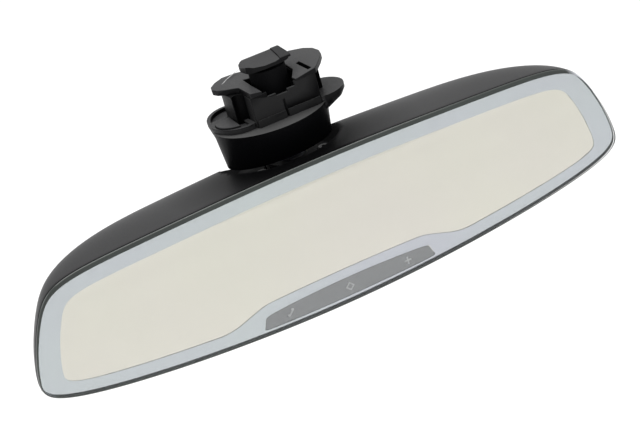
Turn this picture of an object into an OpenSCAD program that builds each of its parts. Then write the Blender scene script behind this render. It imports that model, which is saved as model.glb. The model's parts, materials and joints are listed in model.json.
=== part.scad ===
// Interior rearview mirror: frameless dimming glass in a plastic head, a ball joint,
// a short stem and a twist-lock foot. Millimetres. Z runs up the stem, the driver is at -Y.

/* [Glass] */
// Half width of the glass at mid height
glass_half_w = 117.2; // [110:0.1:124]
// Height of the glass face above its middle
glass_up = 28.35; // [26:0.05:30]
// Height of the glass face below its middle
glass_down = 28.75; // [26:0.05:30]
// Width of the silver band at the top of the glass
band_top = 6.6; // [4:0.1:8]
// Width of the silver band at the sides
band_side = 8; // [6:0.1:10]
// Width of the silver band at the bottom, away from the window
band_bottom = 5; // [4:0.1:6]
// Half width of the touch window
window_half_w = 35; // [30:0.5:40]

/* [Head] */
// Glass face, measured forward from the stem axis
glass_front = 27.5; // [26:0.5:30]
// Middle of the glass, below the foot's seat
glass_drop = 57; // [55:0.5:60]
// Depth of the head behind the glass face
head_depth = 46; // [44:0.5:50]
// Wall of the rear shell
shell_wall = 2.2; // [1.8:0.1:2.6]

/* [Ball joint] */
// Ball radius
ball_r = 7; // [6.5:0.1:7.4]
// Ball centre below the foot's seat
ball_drop = 38.5; // [38:0.1:39]
// Radial gap between turning parts
fit_gap = 0.06; // [0.02:0.01:0.1]

/* [Stem and foot] */
// Half width of the stem along the mirror, at its bottom
stem_a = 21.2; // [20:0.1:21.4]
// Half depth of the stem at its top
stem_b_top = 18; // [16:0.1:19]
// Half depth of the stem at its bottom
stem_b_bottom = 12; // [11:0.1:12.5]
// Half length of the lock head
lock_half_l = 10; // [8:0.1:10]
// Radius of the lock head's shaft
shaft_r = 3; // [2.5:0.1:3.2]

/* [Hidden] */
$fn = 64;

face_y = -glass_front;        // front of the glass
glass_z = -glass_drop;        // middle of the glass
front_t = 1.1;                // front glass
edge_grow = 1.3;              // the ground edge stands this far outside the flat face
coat_y = face_y + front_t;    // layers behind the front glass start here
coat_t = 0.15;
gel_y = coat_y + 0.1 + coat_t;
gel_t = 0.25;
rear_y = gel_y + gel_t;
rear_t = 2;
foam_y = rear_y + rear_t;
foam_t = 0.8;
carrier_y = foam_y + foam_t;
carrier_t = 1.5;
carrier_back = carrier_y + carrier_t;
rim_y = face_y + 1.6;         // front edge of the rear shell
board_y = -15.6;              // front face of the circuit board
board_t = 1.6;
board_back = board_y + board_t;
board_half_w = 52;
board_top = -42;
board_low = -82;
glare_at = [36, 0, -66];      // sensor that looks at the driver's side
sensor_at = [-36, 0, -54];    // sensor that looks at the road
icon_z = glass_z - 23.9;
icon_x = 24.7;
window_mid = glass_z - 23.7;
window_half_h = 3.4;

ball_c = [0, -1, -ball_drop];
liner_r = ball_r + 1.5;
cup_r = 10.2;
cap_top = 5.6;                // cap's rim above the ball centre
stud_r = 3;
neck_r = 4;
screw_r = 1.25;
plate_y = -13;                // socket bracket's back plate
plate_t = 2;
boss_x = 17;
boss_z = [-46, -66];

stem_c = [-3.3, 0];           // middle of the stem's bottom
stem_top_c = [-4.2, -2.5];    // and of its top, wider on the pocket's side
stem_top = -14;
stem_bottom = -29.5;
deck_t = 2;
stem_wall = 2;
web_z = -23.5;                // web that carries the ball stud
web_t = 2;
dish_floor = -36.6;
dish_mouth = -24;
hub_r = 7;
hub_top = 2.8;
seat_t = 2.2;                 // wing plate thickness
spring_top = -6;
clip_t = 0.8;

// ---- outlines -------------------------------------------------------------------------------
function round_scale(c, s, n) = pow(pow(abs(c), n) + pow(abs(s), n), 1 / n);
function half_w(z) = glass_half_w - 0.28 * z - 0.008 * z * z;
function up_h(x) = let (u = x / 125) glass_up - 7.8 * u * u + 6 * pow(u, 4);
function down_h(x) = let (u = x / 125) glass_down - 12.9 * u * u + 1.5 * pow(u, 4);
// One point of the glass outline towards direction t, found by settling x and z together.
function settle(t, x, z, k) = k == 0 ? [x, z] :
    let (c = cos(t), s = sin(t), r = round_scale(c, s, s > 0 ? 9.8 : 7.5))
    settle(t, half_w(z) * c / r, (s > 0 ? up_h(x) : down_h(x)) * s / r, k - 1);
function outline_point(t) = settle(t, 100 * cos(t), 20 * sin(t), 7);
function unit(v) = v / norm(v);
function outward(t) = let (d = unit(outline_point(t + 0.5) - outline_point(t - 0.5))) [d[1], -d[0]];
function outline(grow, count = 120) =
    [for (i = [0 : count - 1]) let (t = 360 * i / count) outline_point(t) + grow * outward(t)];
function smooth(t) = let (k = min(1, max(0, t))) k * k * (3 - 2 * k);
// Inner edge of the silver band, raised over the touch window.
function band_low(x) = let (w = 1 - smooth((abs(x) - 31) / 22))
    w * (glass_down - 12.45 + 0.0005 * x * x) + (1 - w) * (down_h(x) - band_bottom);
function band_settle(t, x, z, k) = k == 0 ? [x, z] :
    let (c = cos(t), s = sin(t), r = round_scale(c, s, 11))
    band_settle(t, (half_w(z) - band_side) * c / r,
        (s > 0 ? up_h(x) - band_top : band_low(x)) * s / r, k - 1);
function band_inner(count = 160) =
    [for (i = [0 : count - 1]) let (t = 360 * i / count) band_settle(t, 90 * cos(t), 15 * sin(t), 7)];
// Touch window: arched top edge, lower edge along the glass, ends that lean outwards.
function window_outline(grow, count = 64) = [for (i = [0 : count - 1])
    let (t = 360 * i / count, r = round_scale(cos(t), sin(t), 14),
        a = cos(t) / r, b = sin(t) / r,
        x = a * (window_half_w - b + grow))
    [x, window_mid - glass_z + b * (window_half_h + grow) - (0.0003 + 0.0009 * b) * x * x]];
function ellipse(a, b, count = 72) =
    [for (i = [0 : count - 1]) [a * cos(360 * i / count), b * sin(360 * i / count)]];

// Extrudes an XZ outline about the middle of the glass, from depth y0 to y1.
module slab(y0, y1) {
    translate([0, y1, glass_z]) rotate([90, 0, 0]) linear_extrude(y1 - y0) children();
}
module along_y(x, z, y0, y1) {
    translate([x, y1, z]) rotate([90, 0, 0]) linear_extrude(y1 - y0) children();
}
module block(low, high) { translate(low) cube(high - low); }

// ---- glass stack ----------------------------------------------------------------------------
module front_glass() {
    color([0.74, 0.78, 0.80]) {
        slab(face_y, face_y + 0.2) polygon(outline(0));
        slab(face_y + 0.2, face_y + 0.5) polygon(outline(0.75));
        slab(face_y + 0.5, coat_y) polygon(outline(edge_grow - 0.1));
    }
}
module reflector_ring() {
    color([0.78, 0.80, 0.82]) slab(coat_y + 0.1, gel_y) difference() {
        polygon(outline(0.9));
        polygon(band_inner());
        polygon(window_outline(0.4));
    }
}
module touch_window() {
    color([0.57, 0.58, 0.60]) slab(coat_y + 0.1, gel_y) polygon(window_outline(0.15));
}
// Three generic marks: a handset bar, a square on its corner and a plus.
module handset_mark() {
    rotate(45) square([3, 0.55], center = true);
    for (e = [-1, 1]) rotate(45) translate([e * 1.3, 0.25]) square([0.8, 1], center = true);
}
module diamond_mark() {
    rotate(45) difference() {
        square(2.6, center = true);
        square(1.6, center = true);
    }
}
module plus_mark() {
    square([3, 0.6], center = true);
    square([0.6, 3], center = true);
}
module window_icons() {
    color([0.78, 0.79, 0.80]) {
        along_y(-icon_x, icon_z, coat_y, coat_y + 0.08) handset_mark();
        along_y(0, icon_z, coat_y, coat_y + 0.08) diamond_mark();
        along_y(icon_x, icon_z, coat_y, coat_y + 0.08) plus_mark();
    }
}
module gel_seal() {
    color([0.25, 0.25, 0.25]) slab(gel_y, rear_y) difference() {
        polygon(outline(-0.8));
        polygon(outline(-2.4));
    }
}
module dimming_gel() { color([0.75, 0.72, 0.5]) slab(gel_y, rear_y) polygon(outline(-2.5)); }
module rear_glass() { color([0.86, 0.85, 0.80]) slab(rear_y, foam_y) polygon(outline(-1.4)); }
// Thin metal strip along the upper (side 1) or lower (side -1) edge of the rear glass.
module bus_clip(side) {
    color([0.72, 0.6, 0.35]) intersection() {
        slab(rear_y, foam_y - 0.2) difference() {
            polygon(outline(-1.15));
            polygon(outline(-1.35));
        }
        block([-80, face_y, glass_z + (side > 0 ? 0 : -40)], [80, 0, glass_z + (side > 0 ? 40 : 0)]);
    }
}
module upper_bus_clip() { bus_clip(1); }
module lower_bus_clip() { bus_clip(-1); }
module foam_pad() {
    color([0.15, 0.15, 0.16]) slab(foam_y, carrier_y) difference() {
        polygon(outline(-3.5));
        polygon(window_outline(1));
    }
}
module touch_foil() {
    color([0.8, 0.55, 0.2]) slab(foam_y, foam_y + 0.3) polygon(window_outline(0.2));
}

// ---- carrier and electronics ----------------------------------------------------------------
module boss_places() { for (x = [-boss_x, boss_x], z = boss_z) translate([x, 0, z]) children(); }
module board_places() {
    for (x = [-board_half_w + 5, board_half_w - 5], z = [board_top - 5, board_low + 12])
        translate([x, 0, z]) children();
}
// Bore along Y, from depth y0 to y1.
module y_rod(r, y0, y1) { translate([0, y1, 0]) rotate([90, 0, 0]) cylinder(r = r, h = y1 - y0); }
module glass_carrier() {
    color([0.12, 0.12, 0.13]) difference() {
        union() {
            slab(carrier_y, carrier_back) polygon(outline(-1.8));
            boss_places() y_rod(3.2, carrier_back - 0.1, plate_y);
            board_places() y_rod(3, carrier_back - 0.1, board_y);
        }
        slab(carrier_y - 1, carrier_back + 1) polygon(window_outline(0.8));
        boss_places() y_rod(screw_r, carrier_y + 0.6, plate_y + 1);
        board_places() y_rod(1, carrier_y + 0.6, board_y + 1);
        translate(glare_at) y_rod(3, carrier_y - 1, carrier_back + 1);
        // relief in front of the dish wall
        block([-20, carrier_back - 0.5, -33], [14, carrier_back + 1, -28]);
    }
}
module light_pipe() {
    color([0.9, 0.9, 0.88]) slab(carrier_y + 0.1, board_y - 1.2) polygon(window_outline(0));
}
module circuit_board() {
    color([0.05, 0.32, 0.16]) difference() {
        block([-board_half_w, board_y, board_low], [board_half_w, board_back, board_top]);
        boss_places() y_rod(3.6, board_y - 1, board_back + 1);
        board_places() y_rod(1.3, board_y - 1, board_back + 1);
    }
}
module control_chips() {
    color([0.08, 0.08, 0.09]) {
        block([-50, board_back, -62], [-40, board_back + 1.4, -52]);
        block([30, board_back, -58], [42, board_back + 1.6, -50]);
        block([28, board_back, -74], [34, board_back + 2.2, -66]);
        for (i = [0 : 4]) block([-46 + 5 * i, board_back, -74], [-43 + 5 * i, board_back + 1, -72]);
    }
}
module status_leds() {
    color([0.95, 0.93, 0.8]) for (x = [-icon_x, 0, icon_x])
        block([x - 1.6, board_y - 1.1, icon_z - 0.8], [x + 1.6, board_y, icon_z + 0.8]);
}
module glare_sensor() {
    color([0.2, 0.22, 0.25]) translate(glare_at) y_rod(2.5, carrier_y + 0.2, board_y);
}
module ambient_sensor() {
    color([0.2, 0.22, 0.25]) translate(sensor_at) y_rod(2.6, board_back, board_back + 2);
}
module light_guide() {
    color([0.85, 0.87, 0.9]) translate(sensor_at) y_rod(2.2, board_back + 2.1, 10.3);
}
module sensor_lens() {
    color([0.1, 0.1, 0.12]) translate(sensor_at) {
        y_rod(3.6, 11.5, 16.3);
        y_rod(4.6, 10.4, 11.5);
    }
}
// Pan-head screw along Y: head from y to y + 1.6, shank reaching forward by len.
module y_screw(r, y, len) {
    y_rod(r, y - len, y + 0.1);
    difference() {
        y_rod(2 * r, y, y + 1.6);
        y_rod(0.6 * r, y + 0.8, y + 2);
    }
}
module board_screws() { color([0.7, 0.7, 0.7]) board_places() y_screw(0.95, board_back, 5.2); }

// ---- rear shell -----------------------------------------------------------------------------
function shrink_x(u) = pow(1 - pow(u, 2.3), 0.6);
function shrink_z(u) = pow(1 - pow(u, 4.5), 0.5);
// Closed loft: rings of the outline, drawn in as they go back; inset moves every wall inwards.
module head_loft(inset, y0) {
    rings = 12;
    count = 120;
    depth = head_depth - inset;
    reach = depth - (y0 - face_y);
    base = outline(edge_grow - inset, count);
    steps = [for (k = [0 : rings]) y0 + reach * (1 - pow(1 - k / rings, 1.7)) * 0.998];
    points = [for (y = steps) let (u = (y - face_y) / depth)
        for (p = base) [p[0] * shrink_x(u), y, glass_z + p[1] * shrink_z(u)]];
    sides = [for (k = [0 : rings - 1], i = [0 : count - 1])
        let (j = (i + 1) % count, a = k * count, b = a + count)
        each [[a + i, b + j, b + i], [a + i, a + j, b + j]]];
    front = [[for (i = [count - 1 : -1 : 0]) i]];
    back = [[for (i = [0 : count - 1]) rings * count + i]];
    polyhedron(points = points, faces = concat(sides, front, back), convexity = 4);
}
// Dish around the stem; grow thickens it outwards.
module dish(grow) {
    hull() {
        translate([-3.2, -0.8, dish_floor - grow]) linear_extrude(0.1)
            polygon(ellipse(20.6 + grow, 15.4 + grow));
        translate([-3.9, -0.9, -32.5]) linear_extrude(0.1) polygon(ellipse(24.1 + grow, 18.9 + grow));
        translate([-4, -1, dish_mouth + 2 * grow]) linear_extrude(0.1)
            polygon(ellipse(24.8 + grow, 20.8 + grow / 2));
    }
}
module rear_shell() {
    color([0.14, 0.14, 0.15]) difference() {
        head_loft(0, rim_y);
        difference() {
            head_loft(shell_wall, rim_y - 1);
            dish(1.8);
        }
        dish(0);
        // opening for the socket cap and its ears
        translate([ball_c[0], ball_c[1], dish_floor - 4]) cylinder(r = cup_r + 1.2, h = 6);
        at_ears(-2) cylinder(r = 3.8, h = 6);
        translate(ball_c + [-ear_x, -3.8, -2]) cube([2 * ear_x, 7.6, 6]);
        translate(sensor_at) y_rod(3.7, 11.6, 20);
    }
}

// ---- ball joint -----------------------------------------------------------------------------
ear_x = 13;
module at_ears(z) { for (s = [-1, 1]) translate(ball_c + [s * ear_x, 0, z]) children(); }
module eared_disc(z, h) {
    translate(ball_c + [0, 0, z]) cylinder(r = cup_r, h = h);
    at_ears(z) cylinder(r = 3, h = h);
    translate(ball_c + [-ear_x, -3, z]) cube([2 * ear_x, 6, h]);
}
module socket_bracket() {
    color([0.55, 0.56, 0.58]) difference() {
        union() {
            eared_disc(-4, 3.9);
            translate(ball_c + [0, 0, -10.5]) cylinder(r = cup_r, h = 7);
            block([-22, plate_y, -71], [22, plate_y + plate_t, -41.5]);
            block([-12, plate_y + plate_t - 0.1, -52], [12, 3, -48.9]);
            for (s = [-1, 1]) block([s * 8 - 1.2, plate_y + plate_t - 0.1, -66], [s * 8 + 1.2, -2, -51.9]);
        }
        translate(ball_c) sphere(r = liner_r + fit_gap);
        boss_places() y_rod(screw_r + 0.15, plate_y - 1, plate_y + plate_t + 1);
        at_ears(-5) cylinder(r = 1, h = 6);
    }
}
module socket_cap() {
    color([0.13, 0.13, 0.14]) difference() {
        union() {
            eared_disc(0, 1.8);
            translate(ball_c) cylinder(r = cup_r - 0.8, h = cap_top);
            translate(ball_c + [0, 0, 4.4]) cylinder(r = cup_r, h = cap_top - 4.4);
        }
        translate(ball_c) sphere(r = liner_r + fit_gap);
        at_ears(-1) cylinder(r = 1.2, h = 4);
    }
}
module clamp_ring() {
    color([0.6, 0.6, 0.62]) translate(ball_c + [0, 0, 2.2]) difference() {
        cylinder(r = cup_r, h = 1.8);
        translate([0, 0, -1]) cylinder(r = cup_r - 0.8, h = 4);
        translate([-2, -cup_r - 1, -1]) cube([4, 6, 4]);
    }
}
module bracket_screws() {
    color([0.7, 0.7, 0.7]) boss_places() y_screw(screw_r, plate_y + plate_t, 8);
}
module cap_screws() {
    color([0.7, 0.7, 0.7]) at_ears(1.8) {
        translate([0, 0, -5.4]) cylinder(r = 1, h = 5.5);
        difference() {
            cylinder(r = 2, h = 1.4);
            translate([0, 0, 0.7]) cylinder(r = 0.8, h = 1, $fn = 6);
        }
    }
}
module ball_liner() {
    color([0.85, 0.84, 0.78]) translate(ball_c) difference() {
        sphere(r = liner_r);
        sphere(r = ball_r + fit_gap);
        translate([-10, -10, 4]) cube(20);
        translate([0, 0, -10]) cylinder(r = 2.5, h = 8);
    }
}
module ball() {
    color([0.6, 0.6, 0.62]) translate(ball_c) difference() {
        intersection() {
            sphere(r = ball_r);
            translate([-10, -10, -10]) cube([20, 20, 15.9]);
        }
        translate([0, 0, -10]) cylinder(r = stud_r + fit_gap, h = 20);
        translate([0, 0, -10]) cylinder(r = neck_r, h = 5.2);
    }
}
module ball_stud() {
    color([0.62, 0.62, 0.64]) {
        translate(ball_c + [0, 0, -5.8]) cylinder(r = neck_r - 0.2, h = 0.9);
        translate(ball_c + [0, 0, -5]) cylinder(r = stud_r, h = 11.1);
        translate(ball_c + [0, 0, 6.05]) cylinder(r = neck_r, h = 6.2);
        difference() {
            translate([0, -1, web_z - web_t - 2]) linear_extrude(2) square([24, 12], center = true);
            for (s = [-1, 1]) translate([s * 9, -1, -40]) cylinder(r = 1.4, h = 30);
        }
    }
}
module stud_screws() {
    color([0.7, 0.7, 0.7]) for (s = [-1, 1]) translate([s * 9, -1, web_z - web_t - 2]) {
        cylinder(r = 1.2, h = 3.8);
        translate([0, 0, -1.4]) difference() {
            cylinder(r = 2.3, h = 1.4);
            translate([0, 0, -0.6]) cylinder(r = 0.9, h = 1.2, $fn = 6);
        }
    }
}

// ---- stem -----------------------------------------------------------------------------------
module stem_solid(grow, low, high) {
    hull() {
        translate([stem_c[0], stem_c[1], low]) linear_extrude(0.01)
            polygon(ellipse(stem_a + grow, stem_b_bottom + grow));
        translate([stem_top_c[0], stem_top_c[1], high - 0.01]) linear_extrude(0.01)
            polygon(ellipse(stem_a + 1.1 + grow, stem_b_top + grow));
    }
}
module stem_shell() {
    color([0.06, 0.06, 0.06]) difference() {
        stem_solid(0, stem_bottom, stem_top);
        difference() {
            stem_solid(-stem_wall, stem_bottom - 1, stem_top - deck_t);
            translate([-30, -30, web_z - web_t]) cube([60, 60, web_t]);
        }
        block([-10, -9, -17], [10, 9, -13]);
        block([-19.7, 4.5, -17], [-13.5, 7.7, -13]);
        block([-22.6, 3.6, -17], [-18.5, 6.2, -13]);
        for (s = [-1, 1]) translate([s * 9, -1, -26]) cylinder(r = 1.2, h = 3.9);
        block([-20, 3, -27], [-14, 7, -23]);
        for (s = [-1, 1]) translate([s * 12, 3, -17]) cylinder(r = 1.25, h = 4);
    }
}
flange_z = [stem_top + 0.02, -11.9];
module lobe(c, a, b, z0, z1, grow = 0) {
    translate([c[0], c[1], z0]) linear_extrude(z1 - z0) polygon(ellipse(a + grow, b + grow, 48));
}
left_lobe = [-16, 1.5];
right_lobe = [15.8, -3.5];
module flange_plate() {
    color([0.12, 0.12, 0.12]) difference() {
        union() {
            // left lobe: a skirt runs down from its rim into the stem's side
            hull() {
                lobe(left_lobe, 10.5, 13.5, flange_z[1] - 1.2, flange_z[1]);
                lobe([-14.6, 0.6], 10.6, 12, -18.6, -18.5);
            }
            // right lobe: a shallow funnel that runs down into the stem's side
            hull() {
                lobe(right_lobe, 10, 9.5, flange_z[1] - 1.6, flange_z[1]);
                lobe([15.3, -3.3], 9.2, 9.2, -15.4, -15.3);
                lobe([12.6, -2.5], 5.6, 8, -18.6, -18.5);
            }
        }
        stem_solid(0.02, stem_bottom, stem_top);
        linear_extrude(60, center = true) polygon(both(half_foot, 0.05));
        intersection() {
            lobe(left_lobe, 10.5, 13.5, -13.4, -11, -1.4);
            block([-30, 3.5, -13.4], [-15.4, 20, -11]);
        }
        block([-22.6, 3.6, -15], [-16, 7.7, -11]);
        intersection() {
            lobe([-17, -2.4], 8.2, 7.6, -13.2, -11, 0.25);
            block([-30, -20, -13.2], [-15.2, 0.7, -11]);
        }
    }
}
module cable_bridge() {
    color([0.2, 0.2, 0.2]) intersection() {
        lobe(left_lobe, 10.5, 13.5, -13.35, -12.1, -1.5);
        block([-30, 3.7, -13.35], [-18.4, 5.2, -12.1]);
    }
}
module flange_pad() {
    color([0.25, 0.25, 0.26]) intersection() {
        lobe([-17, -2.4], 8.2, 7.6, -13.15, -11.2);
        block([-30, -20, -13.15], [-18.4, 0.5, -11.2]);
    }
}
module harness_header() {
    color([0.08, 0.08, 0.08]) difference() {
        block([-19.6, 4.6, -19], [-13.6, 7.6, -14.1]);
        block([-18.9, 5.2, -18], [-14.3, 7, -13]);
    }
    color([0.8, 0.7, 0.4]) for (i = [0 : 3])
        block([-18.6 + 1.15 * i, 5.9, -18.1], [-18.1 + 1.15 * i, 6.4, -15]);
}

// ---- foot -----------------------------------------------------------------------------------
wing_shift = 0.4;             // the wings stand a little off centre
half_foot = [[13.2, -12.6], [13.4, -5.2], [17.6, -4.4], [18.2, 0], [17.6, 6], [12, 11.5]];
left_wing = [[-13.2, -13.2], [-13.8, -3.6], [-18.2, -0.6], [-20.6, 1.6], [-21.5, 4.2], [-20.8, 7.2],
    [-18.2, 10], [-14, 12.4], [-8, 14.4]];
right_wing = [[8, 14.4], [14, 12.4], [18.6, 9.6], [21, 6], [21.6, 1.6], [20.6, -2.4], [18.2, -6.4],
    [14.2, -12], [13, -13.2]];
function both(half, grow = 0) = let (h = [for (p = half) p + grow * [1, sign(p[1])]])
    concat(h, [for (i = [len(h) - 1 : -1 : 0]) [-h[i][0], h[i][1]]]);
// Slit that frees a latch arm in the right wing.
module latch_slit() { translate([11.9, -6.2, -1]) rotate(2.5) cube([1.3, 10.5, 6], center = true); }
module foot_body() {
    color([0.07, 0.07, 0.07]) difference() {
        union() {
            translate([0, 0, stem_top]) linear_extrude(-stem_top - seat_t) polygon(both(half_foot));
            block([-12.6, -13.4, stem_top], [12.6, -10, -11.2]);
            translate([0, 0, -8]) cylinder(r = hub_r, h = 8 + hub_top);
            block([-9.5, -8, -20], [9.5, 8, stem_top + 0.1]);
        }
        translate([0, 0, -21]) cylinder(r = 6, h = 21 + spring_top);
        translate([0, 0, -21]) cylinder(r = shaft_r + fit_gap, h = 40);
        // concave channels at the front corners
        for (s = [-1, 1]) translate([s * 15.6, -6.2, -15]) cylinder(r = 2.5, h = 20);
        // moat around the hub, open at the front over a notched wall, and a parting groove
        difference() {
            block([-8.4, -11.4, -7], [8.2, 4.4, 0]);
            translate([0, 0, -8]) cylinder(r = hub_r, h = 12);
        }
        block([-6.6, -14, -4], [4.6, -11, 0]);
        block([-3.2, -14, -5], [1.4, -11, -3]);
        latch_slit();
        block([-1.4, -15, -15], [-0.5, -12.2, -7]);
        for (s = [-1, 1]) translate([s * 12, 3, -15]) cylinder(r = 0.95, h = 7);
    }
}
module wing_plate() {
    color([0.2, 0.2, 0.21]) difference() {
        translate([wing_shift, 0, -seat_t]) linear_extrude(seat_t) polygon(concat(left_wing, right_wing));
        translate([0, 0, -5]) cylinder(r = hub_r + 0.1, h = 10);
        // opening in front of the hub, its sides turned in
        translate([0, 0, -5]) linear_extrude(10)
            polygon([[-8.2, -16], [-8.6, -4], [-8.6, 4.4], [8.4, 4.4], [8.2, -4], [4.8, -10.5],
                [5.4, -16]]);
        latch_slit();
        // shallow fall from the seat pads to the hub
        rotate([90, 0, 0]) linear_extrude(40, center = true)
            polygon([[-14, 0.001], [-6, -1.3], [6, -1.3], [14, 0.001], [14, 1], [-14, 1]]);
    }
}
// Screws from inside the stem, up through its deck into the foot body.
module foot_screws() {
    color([0.7, 0.7, 0.7]) for (s = [-1, 1]) translate([s * 12, 3, stem_top - deck_t]) {
        cylinder(r = 0.95, h = 7.6);
        translate([0, 0, -1.2]) difference() {
            cylinder(r = 2.1, h = 1.2);
            translate([0, 0, -0.5]) cylinder(r = 0.9, h = 1.1, $fn = 6);
        }
    }
}
module lock_head() {
    color([0.16, 0.16, 0.17]) {
        difference() {
            // Hammer head: rounded plan, top falling to the front, bevelled ends and back.
            intersection() {
                translate([0, 0, 3.4]) linear_extrude(6)
                    polygon([[-9.9, -0.4], [-9, -3.4], [-6.4, -5.4], [-2.4, -6.4], [1.8, -6.4], [5.2, -5.6],
                        [8, -3.4], [8, 2.4], [5.8, 4.2], [-6.8, 4.2], [-9.4, 2.4]]);
                rotate([90, 0, 90]) linear_extrude(2 * lock_half_l, center = true)
                    polygon([[-7, 3.9], [-4.4, 3.4], [4, 3.4], [4.4, 4.2], [3, 6.9], [1.6, 7.1],
                        [-4.4, 5.9], [-7, 4.9]]);
                rotate([90, 0, 0]) linear_extrude(20, center = true)
                    polygon([[-10, 3.9], [-8.4, 3.4], [8, 3.4], [8, 6.2], [6.6, 7.2], [-6.9, 7.2],
                        [-10, 5.4]]);
            }
            block([3.9, -8, 4.6], [12, 6, 9]);
        }
        translate([0, 0, -20.6]) cylinder(r = shaft_r - 0.5, h = 1.2);
        translate([0, 0, -19.5]) cylinder(r = shaft_r, h = 23);
    }
}
module lock_cap() {
    color([0.12, 0.12, 0.12]) intersection() {
        block([4, -5.9, 4.6], [8.4, 3.8, 7.5]);
        rotate([90, 0, 0]) linear_extrude(20, center = true)
            polygon([[4, 4], [8.4, 4], [8.4, 5.8], [7.2, 7.5], [4, 7.5]]);
        rotate([90, 0, 90]) linear_extrude(20)
            polygon([[-5.9, 4], [3.8, 4], [3.8, 5.4], [2.9, 7.3], [1.4, 7.5], [-4, 6.4], [-5.9, 5.4]]);
    }
}
module lock_clip() {
    color([0.6, 0.6, 0.62]) translate([0, 0, -20.4]) difference() {
        cylinder(r = 5, h = clip_t);
        translate([0, 0, -1]) cylinder(r = shaft_r - 0.5, h = 3);
        translate([-1.5, 0, -1]) cube([3, 6, 3]);
    }
}
// Round wire swept along a helix between the clip and the hub.
module lock_spring() {
    wire_r = 0.4;
    coil_r = 4.3;
    turns = 6;
    sides = 8;
    per_turn = 16;
    rings = turns * per_turn;
    low = -19.55 + wire_r;
    rise = (spring_top - wire_r - 0.05 - low) / rings;
    points = [for (k = [0 : rings], i = [0 : sides - 1])
        let (a = 360 * k / per_turn, b = 360 * i / sides, r = coil_r + wire_r * cos(b))
        [r * cos(a), r * sin(a), low + rise * k + wire_r * sin(b)]];
    walls = [for (k = [0 : rings - 1], i = [0 : sides - 1])
        let (j = (i + 1) % sides, a = k * sides, b = a + sides) [a + i, b + i, b + j, a + j]];
    ends = [[for (i = [0 : sides - 1]) i], [for (i = [sides - 1 : -1 : 0]) rings * sides + i]];
    color([0.6, 0.6, 0.62]) polyhedron(points = points, faces = concat(walls, ends), convexity = 10);
}

front_glass();
reflector_ring();
touch_window();
window_icons();
gel_seal();
dimming_gel();
rear_glass();
upper_bus_clip();
lower_bus_clip();
foam_pad();
touch_foil();
glass_carrier();
light_pipe();
circuit_board();
control_chips();
status_leds();
glare_sensor();
ambient_sensor();
light_guide();
sensor_lens();
board_screws();
rear_shell();
socket_bracket();
socket_cap();
clamp_ring();
bracket_screws();
cap_screws();
ball_liner();
ball();
ball_stud();
stud_screws();
stem_shell();
flange_plate();
cable_bridge();
flange_pad();
harness_header();
foot_body();
wing_plate();
foot_screws();
lock_spring();
lock_head();
lock_cap();
lock_clip();
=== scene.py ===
import json
import math

import bmesh
import bpy
import numpy as np
from mathutils import Matrix, Vector

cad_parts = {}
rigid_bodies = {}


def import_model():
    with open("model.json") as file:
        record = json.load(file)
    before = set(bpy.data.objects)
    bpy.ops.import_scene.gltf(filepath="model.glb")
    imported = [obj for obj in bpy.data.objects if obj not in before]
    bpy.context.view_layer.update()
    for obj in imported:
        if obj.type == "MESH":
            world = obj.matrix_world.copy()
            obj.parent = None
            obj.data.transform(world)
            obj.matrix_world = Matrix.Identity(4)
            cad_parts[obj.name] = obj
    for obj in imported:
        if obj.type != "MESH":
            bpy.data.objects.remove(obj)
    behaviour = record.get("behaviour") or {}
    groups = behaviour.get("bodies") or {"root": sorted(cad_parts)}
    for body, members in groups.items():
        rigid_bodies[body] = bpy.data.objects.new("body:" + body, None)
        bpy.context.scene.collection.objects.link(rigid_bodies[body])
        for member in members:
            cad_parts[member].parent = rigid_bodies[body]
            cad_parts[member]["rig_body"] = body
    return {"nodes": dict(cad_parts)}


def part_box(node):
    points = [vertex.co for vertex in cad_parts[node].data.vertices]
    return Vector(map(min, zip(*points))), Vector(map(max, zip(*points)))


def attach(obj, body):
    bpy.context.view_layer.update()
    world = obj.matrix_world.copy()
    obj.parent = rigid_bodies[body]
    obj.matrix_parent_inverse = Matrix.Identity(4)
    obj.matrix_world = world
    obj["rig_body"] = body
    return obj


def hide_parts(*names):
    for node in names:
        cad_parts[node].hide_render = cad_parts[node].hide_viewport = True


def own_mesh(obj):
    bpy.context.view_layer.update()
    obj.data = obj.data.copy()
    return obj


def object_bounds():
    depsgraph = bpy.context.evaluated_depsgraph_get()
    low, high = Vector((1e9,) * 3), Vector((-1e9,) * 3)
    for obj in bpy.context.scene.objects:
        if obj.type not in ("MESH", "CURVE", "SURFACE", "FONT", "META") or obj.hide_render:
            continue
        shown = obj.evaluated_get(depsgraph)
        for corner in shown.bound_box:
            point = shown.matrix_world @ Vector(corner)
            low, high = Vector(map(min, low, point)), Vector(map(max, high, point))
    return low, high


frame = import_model()
cad_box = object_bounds()
MM = 0.001
NODES = frame["nodes"]


def box_mm(node):
    """Lowest and highest corner of a CAD node in millimetres."""
    low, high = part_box(node)
    return np.array(low) / MM, np.array(high) / MM


# ---- driving sizes, in millimetres ------------------------------------------------------------
GLASS_HALF_W = 117.2          # half width of the glass at mid height
GLASS_UP = 28.35              # height of the glass face above its middle
GLASS_DOWN = 28.75            # and below it
ROUND_TOP = 9.8               # exponents that round the glass outline's upper corners,
ROUND_LOW = 7.5               # its lower corners,
ROUND_BAND = 11               # the silver band's inner corners
ROUND_WINDOW = 14             # and the touch window's
ARCH_X = 125                  # distance from the middle that the outline's arches are given for
EDGE_GROW = 1.3               # the head's outline outside the flat face
EDGE_TOP = -0.4               # the ground edge starts here along the top,
EDGE_LEFT = 0.6               # at the left end,
EDGE_RIGHT = 1.1              # at the right end
EDGE_LOW = 0.35               # and along the bottom
BAND_TOP = 6.6                # silver band's width at the top
BAND_SIDE = 8.0               # and at the sides
BAND_BOTTOM = 5.0             # and at the bottom, away from the window
BAND_RAISE = 12.45            # its width over the window,
BAND_RAISE_X = 31             # kept this far from the middle
BAND_RAISE_RUN = 22           # and let down over this length
WINDOW_HALF_W = 35.0
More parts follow.
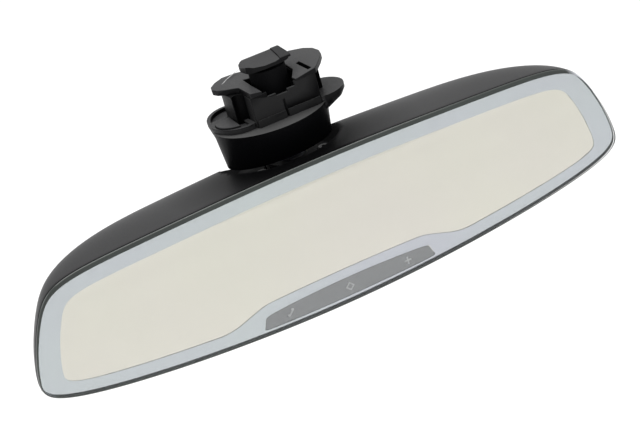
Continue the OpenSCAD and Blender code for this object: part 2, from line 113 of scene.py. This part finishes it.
WINDOW_HALF_H = 3.4
WINDOW_MID = -23.7            # middle of the touch window, from the middle of the glass
WINDOW_GAP = 0.2              # the window's pane grows by this, the band's opening by twice this
RING_GROW = 1.0               # outer edge of the silver band, outside the flat face
GEL_INSET = 2.5               # the dimming gel and the rear glass stand inside the flat face
REAR_INSET = 1.4
MIRROR_STEP = 0.18            # the mirror's front stands this far forward, behind the silver band
HEAD_DEPTH = 46.0
SHELL_WALL = 2.2

glass_low, glass_high = box_mm("front_glass")
FACE_Y = glass_low[1]         # front of the glass
COAT_Y = glass_high[1]        # back of the front glass
RIM_Y = box_mm("rear_shell")[0][1]   # front edge of the rear shell
GLASS_Z = glass_high[2] - GLASS_UP - (EDGE_GROW - 0.1)


# ---- outlines ---------------------------------------------------------------------------------
def round_scale(c, s, n):
    """Length of a direction in a rounded box of exponent n."""
    return (np.abs(c) ** n + np.abs(s) ** n) ** (1 / n)


def half_w(z):
    return GLASS_HALF_W - 0.28 * z - 0.008 * z * z


def up_h(x):
    u = x / ARCH_X
    return GLASS_UP - 7.8 * u**2 + 6 * u**4


def down_h(x):
    u = x / ARCH_X
    return GLASS_DOWN - 12.9 * u**2 + 1.5 * u**4


def smooth(t):
    k = np.clip(t, 0, 1)
    return k * k * (3 - 2 * k)


def band_low(x):
    """Lower inner edge of the silver band, raised over the touch window."""
    w = 1 - smooth((np.abs(x) - BAND_RAISE_X) / BAND_RAISE_RUN)
    return w * (GLASS_DOWN - BAND_RAISE + 0.0005 * x * x) + (1 - w) * (down_h(x) - BAND_BOTTOM)


def settle(width, up, down, exponent_up, exponent_down, count):
    """Closed rounded outline, found by settling x and z together; evenly spaced points."""
    t = np.linspace(0, 2 * math.pi, 1440, endpoint=False)
    c, s = np.cos(t), np.sin(t)
    r = np.where(s > 0, round_scale(c, s, exponent_up), round_scale(c, s, exponent_down))
    x, z = 100 * c, 20 * s
    for _ in range(9):
        x, z = width(z) * c / r, np.where(s > 0, up(x), down(x)) * s / r
    return even(np.stack([x, z], 1), count)


def even(points, count):
    """The same closed line with evenly spaced points."""
    closed = np.vstack([points, points[:1]])
    run = np.concatenate([[0], np.cumsum(np.linalg.norm(np.diff(closed, axis=0), axis=1))])
    at = np.linspace(0, run[-1], count, endpoint=False)
    return np.stack([np.interp(at, run, closed[:, 0]), np.interp(at, run, closed[:, 1])], 1)


def grown(points, grow):
    """The outline moved outwards by grow; the points run anticlockwise."""
    d = np.roll(points, -1, 0) - np.roll(points, 1, 0)
    d /= np.linalg.norm(d, axis=1)[:, None]
    return points + grow * np.stack([d[:, 1], -d[:, 0]], 1)


def outline(grow=0.0, count=480):
    """Outline of the glass's flat face, moved outwards by grow."""
    return grown(settle(half_w, up_h, down_h, ROUND_TOP, ROUND_LOW, count), grow)


def band_inner(count=480):
    """Inner edge of the silver band."""
    def width(z):
        return half_w(z) - BAND_SIDE

    def up(x):
        return up_h(x) - BAND_TOP

    return settle(width, up, band_low, ROUND_BAND, ROUND_BAND, count)


def window_outline(grow, count=240):
    """Touch window: arched top edge, lower edge along the glass, ends that lean outwards."""
    t = np.linspace(0, 2 * math.pi, 1440, endpoint=False)
    r = round_scale(np.cos(t), np.sin(t), ROUND_WINDOW)
    a, b = np.cos(t) / r, np.sin(t) / r
    x = a * (WINDOW_HALF_W - b + grow)
    z = WINDOW_MID + b * (WINDOW_HALF_H + grow) - (0.0003 + 0.0009 * b) * x * x
    return even(np.stack([x, z], 1), count)


def ellipse(a, b, count=160, centre=(0, 0)):
    t = np.linspace(0, 2 * math.pi, count, endpoint=False)
    return np.stack([centre[0] + a * np.cos(t), centre[1] + b * np.sin(t)], 1)


# ---- mesh helpers -----------------------------------------------------------------------------
def new_object(name, verts_mm, faces, material=None, body=None):
    mesh = bpy.data.meshes.new(name)
    mesh.from_pydata([tuple(v) for v in np.asarray(verts_mm) * MM], [], faces)
    mesh.validate()
    obj = bpy.data.objects.new(name, mesh)
    bpy.context.scene.collection.objects.link(obj)
    if material:
        mesh.materials.append(material)
    if body:
        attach(obj, body)
    return obj


def shade(obj, angle=35):
    """Smooth shading with edges sharper than angle kept."""
    bm = bmesh.new()
    bm.from_mesh(obj.data)
    bmesh.ops.recalc_face_normals(bm, faces=bm.faces)
    limit = math.radians(angle)
    for e in bm.edges:
        e.smooth = len(e.link_faces) == 2 and e.calc_face_angle(0) < limit
    for f in bm.faces:
        f.smooth = True
    bm.to_mesh(obj.data)
    bm.free()


def apply_modifiers(obj):
    graph = bpy.context.evaluated_depsgraph_get()
    mesh = bpy.data.meshes.new_from_object(obj.evaluated_get(graph), depsgraph=graph)
    obj.modifiers.clear()
    old = obj.data
    obj.data = mesh
    bpy.data.meshes.remove(old)


def bevel(obj, width_mm, angle):
    """Rounds edges sharper than angle, in three steps."""
    mod = obj.modifiers.new("edge", "BEVEL")
    mod.width = width_mm * MM
    mod.segments = 3
    mod.limit_method = "ANGLE"
    mod.angle_limit = math.radians(angle)
    mod.use_clamp_overlap = True
    apply_modifiers(obj)
    shade(obj, 40)


def even_normals(obj):
    """Normals that follow the large faces beside a rounded edge."""
    weighted = obj.modifiers.new("normals", "WEIGHTED_NORMAL")
    weighted.keep_sharp = True
    apply_modifiers(obj)


def loft(name, rings, material, body):
    """Skin over closed rings of the same number of points, with both ends closed."""
    count = len(rings[0])
    verts = np.concatenate(rings)
    faces = []
    for k in range(len(rings) - 1):
        for i in range(count):
            j = (i + 1) % count
            faces.append((k * count + i, k * count + j, (k + 1) * count + j, (k + 1) * count + i))
    faces.append(tuple(range(count))[::-1])
    faces.append(tuple((len(rings) - 1) * count + i for i in range(count)))
    return new_object(name, verts, faces, material, body)


def upright(points, y):
    """XZ outline about the middle of the glass, at depth y."""
    return np.stack([points[:, 0], np.full(len(points), y), GLASS_Z + points[:, 1]], 1)


def level(points, z):
    """XY outline at height z."""
    return np.stack([points[:, 0], points[:, 1], np.full(len(points), z)], 1)


def plate(name, loops, low, high, material, body, edge=0.0):
    """Upright plate from depth low to high; loops are XZ outlines about the middle of the glass."""
    curve = bpy.data.curves.new(name, "CURVE")
    curve.dimensions = "2D"
    curve.fill_mode = "BOTH"
    curve.extrude = (high - low) / 2 * MM - edge * MM
    curve.bevel_depth = edge * MM
    curve.bevel_resolution = 2
    curve.offset = -edge * MM
    for points in loops:
        spline = curve.splines.new("POLY")
        spline.points.add(len(points) - 1)
        for p, (x, z) in zip(spline.points, points):
            p.co = (x * MM, z * MM, 0, 1)
        spline.use_cyclic_u = True
    holder = bpy.data.objects.new(name, curve)
    bpy.context.scene.collection.objects.link(holder)
    bpy.context.view_layer.update()
    graph = bpy.context.evaluated_depsgraph_get()
    mesh = bpy.data.meshes.new_from_object(holder.evaluated_get(graph), depsgraph=graph)
    bpy.data.objects.remove(holder)
    place = Matrix.Translation((0, (low + high) / 2 * MM, GLASS_Z * MM))
    mesh.transform(place @ Matrix.Rotation(math.pi / 2, 4, "X"))
    obj = bpy.data.objects.new(name, mesh)
    bpy.context.scene.collection.objects.link(obj)
    bm = bmesh.new()
    bm.from_mesh(mesh)
    bmesh.ops.remove_doubles(bm, verts=bm.verts, dist=2e-6)
    bm.to_mesh(mesh)
    bm.free()
    mesh.materials.clear()
    mesh.materials.append(material)
    shade(obj, 15)
    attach(obj, body)
    return obj


def copy_of(node, name, material, edge):
    """A CAD node's shape as a new piece, with rounded edges."""
    source = NODES[node]
    mesh = source.data.copy()
    mesh.name = name
    obj = bpy.data.objects.new(name, mesh)
    bpy.context.scene.collection.objects.link(obj)
    bm = bmesh.new()
    bm.from_mesh(mesh)
    bmesh.ops.remove_doubles(bm, verts=bm.verts, dist=1e-6)
    bmesh.ops.dissolve_limit(bm, angle_limit=math.radians(1.0), verts=bm.verts, edges=bm.edges)
    bm.to_mesh(mesh)
    bm.free()
    mesh.materials.clear()
    mesh.materials.append(material)
    bevel(obj, edge, 28)
    even_normals(obj)
    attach(obj, source["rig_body"])
    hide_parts(node)
    return obj


def cut(obj, cutter):
    """Takes the cutter's shape out of obj, and removes the cutter."""
    mod = obj.modifiers.new("cut", "BOOLEAN")
    mod.operation = "DIFFERENCE"
    mod.solver = "EXACT"
    mod.object = cutter
    apply_modifiers(obj)
    bpy.data.objects.remove(cutter)


# ---- materials --------------------------------------------------------------------------------
def material(name, base, rough, metallic=0.0, grain=900, bump=0.0, mottle=0.0, mottle_scale=40,
             rough_spread=0.0, coat=0.0, edge_highlight=0.0, alpha=1.0, specular=0.5,
             second=None, side=None, top=None, shaded=None):
    """Principled material: base colour with slow mottling (towards second, if given), fine grain in
    bump and roughness and painted highlights on sharp edges. side paints light on faces that look
    along +X and top paints light on those that look up. shaded is a place and two radii between
    which painted shade fades the surface to dull black. Scales are per metre, in object space."""
    mat = bpy.data.materials.new(name)
    mat.use_nodes = True
    tree = mat.node_tree
    link = tree.links.new
    shader = tree.nodes["Principled BSDF"]
    shader.inputs["Metallic"].default_value = metallic
    shader.inputs["Coat Weight"].default_value = coat
    shader.inputs["Coat Roughness"].default_value = 0.08
    shader.inputs["Specular IOR Level"].default_value = specular
    shader.inputs["Alpha"].default_value = alpha
    where = tree.nodes.new("ShaderNodeTexCoord").outputs["Object"]

    def noise(scale, detail=2.0):
        n = tree.nodes.new("ShaderNodeTexNoise")
        n.inputs["Scale"].default_value = scale
        n.inputs["Detail"].default_value = detail
        link(where, n.inputs["Vector"])
        return n.outputs["Fac"]

    def ramp(value, low, high, to_low, to_high):
        n = tree.nodes.new("ShaderNodeMapRange")
        n.inputs["From Min"].default_value = low
        n.inputs["From Max"].default_value = high
        n.inputs["To Min"].default_value = to_low
        n.inputs["To Max"].default_value = to_high
        link(value, n.inputs["Value"])
        return n.outputs["Result"]

    def mix(factor, a, b):
        n = tree.nodes.new("ShaderNodeMix")
        n.data_type = "RGBA"
        link(factor, n.inputs["Factor"])
        for socket, value in ((n.inputs["A"], a), (n.inputs["B"], b)):
            if hasattr(value, "is_linked"):
                link(value, socket)
            else:
                socket.default_value = (*value, 1)
        return n.outputs["Result"]

    slow = noise(mottle_scale)
    dark = tuple(v * (1 - mottle) for v in base)
    light = second or tuple(min(1, v * (1 + mottle)) for v in base)
    colour = mix(ramp(slow, 0.35, 0.65, 0, 1), dark, light)
    split = tree.nodes.new("ShaderNodeSeparateXYZ")
    link(tree.nodes.new("ShaderNodeTexCoord").outputs["Normal"], split.inputs["Vector"])

    def sums(operation, a, b):
        n = tree.nodes.new("ShaderNodeMath")
        n.operation = operation
        for socket, value in zip(n.inputs, (a, b)):
            if hasattr(value, "is_linked"):
                link(value, socket)
            else:
                socket.default_value = value
        return n.outputs["Value"]

    # painted light: faces that look along +X take the side colour
    if side:
        across, up = split.outputs["X"], split.outputs["Z"]
        squares = sums("ADD", sums("POWER", across, 2), sums("POWER", up, 2))
        share = sums("DIVIDE", across, sums("MAXIMUM", sums("SQRT", squares, 0), 0.001))
        colour = mix(ramp(share, 0.45, 0.75, 0, 1), colour, side)
    # painted light: faces that look up take the top colour
    if top:
        colour = mix(ramp(split.outputs["Z"], 0.55, 0.9, 0, 1), colour, top)
    # painted shade: darker colour and weaker specular near the given place
    if shaded:
        place, near, far = shaded
        gap = tree.nodes.new("ShaderNodeVectorMath")
        gap.operation = "DISTANCE"
        link(where, gap.inputs[0])
        gap.inputs[1].default_value = [v * MM for v in place]
        fade = ramp(gap.outputs["Value"], near * MM, far * MM, 0, 1)
        colour = mix(fade, tuple(0.3 * v for v in base), colour)
        link(ramp(fade, 0, 1, 0.15 * specular, specular), shader.inputs["Specular IOR Level"])
    # painted highlight: sharp edges are paled by this share
    if edge_highlight:
        sharpness = tree.nodes.new("ShaderNodeNewGeometry").outputs["Pointiness"]
        highlight_tint = tuple(min(1, v * 2.2 + 0.03) for v in base)
        colour = mix(ramp(sharpness, 0.52, 0.60, 0, edge_highlight), colour, highlight_tint)
    link(colour, shader.inputs["Base Color"])
    fine = noise(grain, 3.0)
    smoothest = max(0.02, rough - rough_spread)
    link(ramp(fine, 0.3, 0.7, smoothest, rough + rough_spread), shader.inputs["Roughness"])
    if bump:
        height = noise(grain, 3.0)
        n = tree.nodes.new("ShaderNodeBump")
        n.inputs["Strength"].default_value = bump
        n.inputs["Distance"].default_value = 0.00006
        link(height, n.inputs["Height"])
        link(n.outputs["Normal"], shader.inputs["Normal"])
    return mat


MIRROR = material(
    "warm_mirror", (0.80, 0.765, 0.705), 0.035, 1.0, grain=500, second=(0.80, 0.785, 0.69),
    mottle_scale=11
)
BAND = material(
    "silver_band", (0.49, 0.50, 0.555), 0.10, 1.0, grain=1500, second=(0.50, 0.545, 0.545),
    mottle_scale=9, rough_spread=0.01
)
WINDOW = material(
    "smoked_window", (0.20, 0.205, 0.21), 0.16, 0.55, grain=4000, bump=0.02, mottle=0.02,
    mottle_scale=30
)
ICON = material("icon_ink", (0.42, 0.43, 0.43), 0.5, grain=2500, mottle=0.05, mottle_scale=900)
FACE = material("clear_face", (0.9, 0.93, 0.92), 0.02, alpha=0.05, mottle=0.01)
# painted light: the ground edge's faces that look along +X are pale grey
EDGE = material(
    "ground_edge", (0.022, 0.029, 0.025), 0.2, grain=2500, bump=0.1, mottle=0.15, mottle_scale=60,
    rough_spread=0.05, coat=0.3, side=(0.62, 0.64, 0.68)
)
# painted shade: the shell darkens and loses its sheen towards the stem's foot
SHELL = material(
    "shell_satin", (0.010, 0.010, 0.011), 0.4, grain=2600, bump=0.35, mottle=0.08,
    mottle_scale=18, rough_spread=0.05, specular=0.28, shaded=((-3, -6, -33), 24, 52)
)
# painted light on the stem's upward faces
STEM = material(
    "stem_black", (0.0025, 0.0025, 0.003), 0.45, grain=2600, bump=0.3, mottle=0.1,
    mottle_scale=25, rough_spread=0.05, specular=0.06, top=(0.075, 0.075, 0.075)
)
# painted light on upward faces and painted highlights on sharp edges
FOOT = material(
    "foot_black", (0.002, 0.002, 0.0023), 0.42, grain=1600, bump=0.4, mottle=0.15,
    mottle_scale=60, rough_spread=0.08, edge_highlight=0.6, specular=0.05, top=(0.035, 0.035, 0.036)
)
# painted light on upward faces and painted highlights on sharp edges
FOOT_GREY = material(
    "foot_grey", (0.003, 0.003, 0.0035), 0.42, grain=1800, bump=0.4, mottle=0.12, mottle_scale=70,
    rough_spread=0.08, edge_highlight=0.6, specular=0.08, top=(0.05, 0.05, 0.051)
)
# painted highlight: pale grey for the bead along the left wing's back edge
WING_HIGHLIGHT = material(
    "wing_edge_highlight_paint", (0.42, 0.42, 0.42), 0.35, grain=1800, bump=0.2, mottle=0.3, mottle_scale=400
)
STEEL = material(
    "bright_steel", (0.62, 0.62, 0.64), 0.25, 1.0, grain=3500, bump=0.2, mottle=0.06,
    mottle_scale=300, rough_spread=0.1
)
DIE_CAST = material(
    "zinc_cast", (0.36, 0.37, 0.39), 0.45, 0.9, grain=1500, bump=0.5, mottle=0.12,
    mottle_scale=120, rough_spread=0.1
)
BLACK_STEEL = material(
    "black_steel", (0.012, 0.012, 0.013), 0.4, 0.3, grain=3500, bump=0.2, mottle=0.1,
    mottle_scale=300, rough_spread=0.1
)
CARRIER = material(
    "carrier_black", (0.012, 0.012, 0.013), 0.5, grain=1500, bump=0.4, mottle=0.1,
    rough_spread=0.05, specular=0.15
)
# painted shade: a darker, duller black for the dish and the hollows at the foot's hub
SHADE_BLACK = material(
    "painted_shade_black", (0.004, 0.004, 0.0045), 0.6, grain=2600, bump=0.35, mottle=0.1, specular=0.05
)
RUBBER = material("seal_black", (0.02, 0.02, 0.02), 0.6, grain=900, bump=0.3, mottle=0.1)
GEL = material("gel", (0.8, 0.78, 0.6), 0.1, alpha=0.04, mottle=0.03)
BRASS = material(
    "bus_metal", (0.62, 0.47, 0.22), 0.3, 1.0, grain=3000, bump=0.2, mottle=0.05,
    rough_spread=0.08
)
FOAM = material(
    "foam", (0.03, 0.03, 0.03), 0.85, grain=2200, bump=0.8, mottle=0.3, mottle_scale=1500
)
FOIL = material("foil", (0.45, 0.22, 0.05), 0.3, grain=600, bump=0.1, mottle=0.1, mottle_scale=200)
DIFFUSER = material("diffuser", (0.75, 0.75, 0.72), 0.4, grain=1200, bump=0.1, mottle=0.03)
BOARD = material(
    "board_green", (0.015, 0.12, 0.045), 0.35, grain=1200, bump=0.2, mottle=0.25,
    mottle_scale=350, coat=0.3
)
CHIP = material(
    "chip_black", (0.02, 0.02, 0.02), 0.5, grain=2500, bump=0.4, mottle=0.15, mottle_scale=400
)
LED = material("led", (0.85, 0.8, 0.5), 0.2, grain=1200, mottle=0.05, coat=0.5)
LENS = material("lens_dark", (0.012, 0.012, 0.016), 0.08, grain=900, mottle=0.1, coat=0.8)
CLEAR = material("clear_plastic", (0.7, 0.73, 0.76), 0.12, alpha=0.5, mottle=0.02)
LINER = material("liner", (0.66, 0.64, 0.56), 0.45, grain=1200, bump=0.15, mottle=0.05)

KEPT = {
    "gel_seal": RUBBER, "upper_bus_clip": BRASS, "lower_bus_clip": BRASS,
    "foam_pad": FOAM, "touch_foil": FOIL, "glass_carrier": CARRIER, "light_pipe": DIFFUSER,
    "circuit_board": BOARD, "control_chips": CHIP, "status_leds": LED, "glare_sensor": LENS,
    "ambient_sensor": LENS, "light_guide": CLEAR, "sensor_lens": LENS, "board_screws": STEEL,
    "socket_bracket": DIE_CAST, "socket_cap": CARRIER, "clamp_ring": BLACK_STEEL, "bracket_screws": STEEL,
    "cap_screws": BLACK_STEEL, "ball_liner": LINER, "ball": DIE_CAST, "ball_stud": DIE_CAST,
    "stud_screws": STEEL, "harness_header": CHIP, "foot_screws": STEEL, "lock_spring": STEEL,
    "lock_clip": STEEL, "window_icons": ICON,
}
for node, mat in KEPT.items():
    NODES[node].data.materials.clear()
    NODES[node].data.materials.append(mat)


# ---- glass ------------------------------------------------------------------------------------
def front_glass():
    """Front glass: flat face, then a quarter-round ground edge, broader along the top."""
    thick = COAT_Y - FACE_Y
    base = outline(0)
    normal = grown(base, 1) - base
    sides = ((EDGE_TOP, 1, 1), (EDGE_LOW, -1, 1), (EDGE_RIGHT, 1, 0), (EDGE_LEFT, -1, 0))
    start = sum(
        value * np.clip(sign * normal[:, axis : axis + 1], 0, 1) ** 2 for value, sign, axis in sides
    )
    end = EDGE_GROW - 0.1
    rings = []
    for a in np.radians(np.linspace(0, 90, 9)):
        grow = start + (end - start) * math.sin(a)
        rings.append(upright(base + grow * normal, FACE_Y + 0.85 * thick * (1 - math.cos(a))))
    rings.append(upright(grown(base, end), COAT_Y))
    obj = loft("glass_pane", rings, FACE, "head")
    obj.data.materials.append(EDGE)
    skin = len(base) * (len(rings) - 1)
    for f in obj.data.polygons:
        f.material_index = 1 if f.index < skin else 0
    shade(obj, 30)
    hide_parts("front_glass")


def coated_layers():
    """Silver band, touch window, a thin film of gel and the rear glass with its mirror."""
    low, high = box_mm("reflector_ring")
    loops = [outline(RING_GROW), band_inner(), window_outline(2 * WINDOW_GAP)]
    ring = plate("silver_band_ring", loops, low[1], high[1], BAND, "head")
    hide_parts("reflector_ring")
    low, high = box_mm("touch_window")
    window = plate("touch_window_pane", [window_outline(WINDOW_GAP)], low[1], high[1], WINDOW, "head")
    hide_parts("touch_window")
    low, high = box_mm("dimming_gel")
    gel = plate("gel_layer", [outline(-GEL_INSET)], low[1] + 0.02, low[1] + 0.05, GEL, "head")
    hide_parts("dimming_gel")
    low, high = box_mm("rear_glass")
    front = low[1] - MIRROR_STEP
    rear = plate("rear_mirror_glass", [outline(-REAR_INSET)], front, high[1], MIRROR, "head", edge=0.1)
    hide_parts("rear_glass")


# ---- rear shell -------------------------------------------------------------------------------
def shell_rings(inset, y0, count=360, rings=44):
    """The head's outline, closer together and smaller towards the back; it closes in width first."""
    depth = HEAD_DEPTH - inset
    reach = depth - (y0 - FACE_Y)
    base = outline(EDGE_GROW - inset, count)
    result = []
    for k in range(rings + 1):
        y = y0 + reach * (1 - (1 - k / rings) ** 1.7) * SHELL_END
        u = (y - FACE_Y) / depth
        ring = base * np.array([(1 - u**2.3) ** 0.6, (1 - u**4.5) ** 0.5])
        result.append(upright(ring, y))
    return result


SHELL_END = 0.9985            # the last ring's share of the depth
DISH_FLOOR = -36.6
DISH_TOP = -27                # rounded lip of the dish
EAR_R = 3.0                   # socket ears and the room around them
EAR_GAP = 0.8
CAP_HOLE_R = 11.4             # hole for the socket's cap
DISH_WALL = 1.8
LENS_HOLE_R = 3.7
LENS_HOLE_Y = (11.6, 21)
DISH_LEVELS = [               # height, centre x and y, half width, half depth
    (DISH_FLOOR, -3.2, -0.8, 20.6, 15.4),
    (-32.5, -3.9, -0.9, 24.1, 18.9),
    (-24, -4, -1, 24.8, 20.8),
]


def dish(name, grow):
    """Dish in the head's top, around the stem; grow makes it larger all round and below."""
    rings = []
    for z, x, y, a, b in DISH_LEVELS:
        drop = grow if z == DISH_FLOOR else 0
        rings.append(level(ellipse(a + grow, b + grow, 160, (x, y)), z - drop))
    return loft(name, rings, SHELL, None)


def rear_shell():
    """Hollow moulding with the dish, the holes for the socket's cap and ears, and the lens hole."""
    obj = loft("rear_shell_moulding", shell_rings(0, RIM_Y), SHELL, None)
    inner = loft("inner", shell_rings(SHELL_WALL, RIM_Y - 1), SHELL, None)
    wall = dish("dish_wall", DISH_WALL)
    for o in (obj, inner, wall):
        shade(o, 180)
    cut(inner, wall)
    cut(obj, inner)
    cut(obj, dish("dish_cut", 0))
    low, high = box_mm("socket_cap")
    centre = (low + high) / 2
    ear_x = (high[0] - low[0]) / 2 - EAR_R
    slot_r = EAR_R + EAR_GAP
    slot = [(-ear_x, -slot_r), (ear_x, -slot_r), (ear_x, slot_r), (-ear_x, slot_r)]
    for line in (
        ellipse(CAP_HOLE_R, CAP_HOLE_R, 96, centre[:2]),
        ellipse(slot_r, slot_r, 64, (centre[0] - ear_x, centre[1])),
        ellipse(slot_r, slot_r, 64, (centre[0] + ear_x, centre[1])),
        np.array(slot) + centre[:2],
    ):
        cut(obj, loft("hole", [level(line, DISH_FLOOR - 6), level(line, DISH_FLOOR + 2)], SHELL, None))
    lens_low, lens_high = box_mm("sensor_lens")
    mid = (lens_low + lens_high) / 2
    ring = ellipse(LENS_HOLE_R, LENS_HOLE_R, 64, (mid[0], mid[2] - GLASS_Z))
    cut(obj, loft("lens_hole", [upright(ring, y) for y in LENS_HOLE_Y], SHELL, None))
    bevel(obj, 0.5, 40)
    obj.data.materials.clear()
    obj.data.materials.append(SHELL)
    # painted shade: faces inside the dish get the darker, duller black
    obj.data.materials.append(SHADE_BLACK)
    _, wide_x, wide_y, wide_a, wide_b = DISH_LEVELS[-1]
    for f in obj.data.polygons:
        x, y, z = f.center / MM
        inside = ((x - wide_x) / (wide_a + 0.1)) ** 2 + ((y - wide_y) / (wide_b + 0.1)) ** 2 < 1
        f.material_index = 1 if inside and DISH_FLOOR - 3 < z < DISH_TOP else 0
    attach(obj, "head")
    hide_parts("rear_shell")


# ---- stem and foot ----------------------------------------------------------------------------
HUB_SHADE_R = 9.0                  # radius of the painted shade around the hub
HUB_SHADE_Z = -7.5                 # its floor
HUB_LOW = -15                 # below this, the hub's underside gets painted shade too


def wing_edge_highlight():
    """Low bead along the back edge of the left wing, tapered at both ends; its pale colour is a painted
    highlight.
    """
    start, end = np.array([-16.6, 5.4]), np.array([-5.9, 13.6])
    along = (end - start) / np.linalg.norm(end - start)
    side = np.array([-along[1], along[0]])
    rings = []
    for t in np.linspace(0, 1, 17):
        at = start + t * (end - start) + side * 0.5 * math.sin(math.pi * t)
        r = 0.05 + 0.2 * math.sin(math.pi * t) ** 0.6
        turn = np.linspace(0, 2 * math.pi, 12, endpoint=False)
        ring = [(*(at + side * r * math.cos(a)), 0.3 * r * math.sin(a)) for a in turn]
        rings.append(np.array(ring))
    obj = loft("wing_edge_highlight_bead", rings, WING_HIGHLIGHT, "mount")
    shade(obj, 60)


def foot():
    """Stem, flange, foot and lock, from their CAD shapes with rounded edges."""
    for node, name, mat, edge in (
        ("stem_shell", "stem_moulding", STEM, 0.6),
        ("flange_plate", "flange_moulding", FOOT_GREY, 0.35),
        ("cable_bridge", "cable_bridge_rib", FOOT_GREY, 0.25),
        ("flange_pad", "flange_pad_half_round", FOOT_GREY, 0.4),
        ("foot_body", "foot_body_moulding", FOOT, 0.35),
        ("wing_plate", "wing_plate_moulding", FOOT_GREY, 0.3),
        ("lock_head", "lock_head_hammer", FOOT_GREY, 0.4),
        ("lock_cap", "lock_cap_end", FOOT, 0.35),
    ):
        obj = copy_of(node, name, mat, edge)
        if node == "foot_body":
            # painted shade: the hollow around the hub and the hub's underside get the darker, duller
            # black
            obj.data.materials.append(SHADE_BLACK)
            for f in obj.data.polygons:
                x, y, z = f.center / MM
                deep = (math.hypot(x, y) < HUB_SHADE_R and z > HUB_SHADE_Z) or z < HUB_LOW
                f.material_index = 1 if deep else 0
    wing_edge_highlight()


def spring():
    """Round wire wound between the clip and the hub."""
    low, high = box_mm("lock_spring")
    wire = 0.4
    coil = (high[0] - low[0]) / 2 - wire
    turns, per_turn = 6, 32
    last = turns * per_turn
    around = np.linspace(0, 2 * math.pi, 12, endpoint=False)
    rings = []
    for k in range(last + 1):
        turn = 2 * math.pi * k / per_turn
        z = low[2] + wire + (high[2] - low[2] - 2 * wire) * k / last
        r = coil + wire * np.cos(around)
        rings.append(np.stack([r * math.cos(turn), r * math.sin(turn), z + wire * np.sin(around)], 1))
    obj = loft("lock_spring_wire", rings, STEEL, "mount")
    shade(obj, 40)
    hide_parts("lock_spring")
    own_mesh(obj)


# ---- studio -----------------------------------------------------------------------------------
def studio():
    """Pale floor below the head, a white surround, and a broad lamp above with a small one at left."""
    floor_z = cad_box[0][2] - 0.16
    size = 6.0
    corners = [(-size, -size), (size, -size), (size, size), (-size, size)]
    floor = bpy.data.meshes.new("studio_floor")
    floor.from_pydata([(x, y, floor_z) for x, y in corners], [], [(0, 1, 2, 3)])
    obj = bpy.data.objects.new("studio_floor", floor)
    bpy.context.scene.collection.objects.link(obj)
    mat = bpy.data.materials.new("floor_white")
    mat.use_nodes = True
    shader = mat.node_tree.nodes["Principled BSDF"]
    shader.inputs["Base Color"].default_value = (0.92, 0.92, 0.92, 1)
    shader.inputs["Roughness"].default_value = 0.9
    floor.materials.append(mat)
    world = bpy.data.worlds.new("studio")
    bpy.context.scene.world = world
    world.use_nodes = True
    back = world.node_tree.nodes["Background"]
    back.inputs["Color"].default_value = (1, 1, 1, 1)
    back.inputs["Strength"].default_value = 0.85

    def area(name, place, target, size, power):
        light = bpy.data.lights.new(name, "AREA")
        light.shape = "RECTANGLE"
        light.size, light.size_y = size
        light.energy = power
        lamp = bpy.data.objects.new(name, light)
        bpy.context.scene.collection.objects.link(lamp)
        lamp.location = place
        lamp.rotation_euler = (Vector(target) - Vector(place)).to_track_quat("-Z", "Y").to_euler()

    middle = (0, 0, -0.05)
    area("key_top", (0.0, 0.35, 1.4), middle, (1.4, 1.0), 14)
    area("rim_left", (-0.9, 0.25, 0.5), middle, (0.3, 0.5), 1.5)


def camera():
    """Seen from the left of the mirror and above it, with the mirror's right end raised."""
    turn, lift, roll = math.radians(18.29), math.radians(25), math.radians(15.52)
    aim = Vector((-3.0, -23.8, -49.6)) * MM
    away = 0.672
    look = Vector((math.sin(turn) * math.cos(lift), math.cos(turn) * math.cos(lift), -math.sin(lift)))
    right = look.cross(Vector((0, 0, 1))).normalized()
    up = right.cross(look)
    right, up = right * math.cos(roll) - up * math.sin(roll), up * math.cos(roll) + right * math.sin(roll)
    data = bpy.data.cameras.new("camera")
    data.sensor_width = 36
    data.lens = 103.6
    obj = bpy.data.objects.new("camera", data)
    bpy.context.scene.collection.objects.link(obj)
    basis = Matrix((right, up, -look)).transposed().to_4x4()
    obj.matrix_world = Matrix.Translation(aim - look * away) @ basis
    bpy.context.scene.camera = obj


front_glass()
coated_layers()
rear_shell()
foot()
spring()
studio()
camera()
scene = bpy.context.scene
scene.view_settings.view_transform = "Standard"
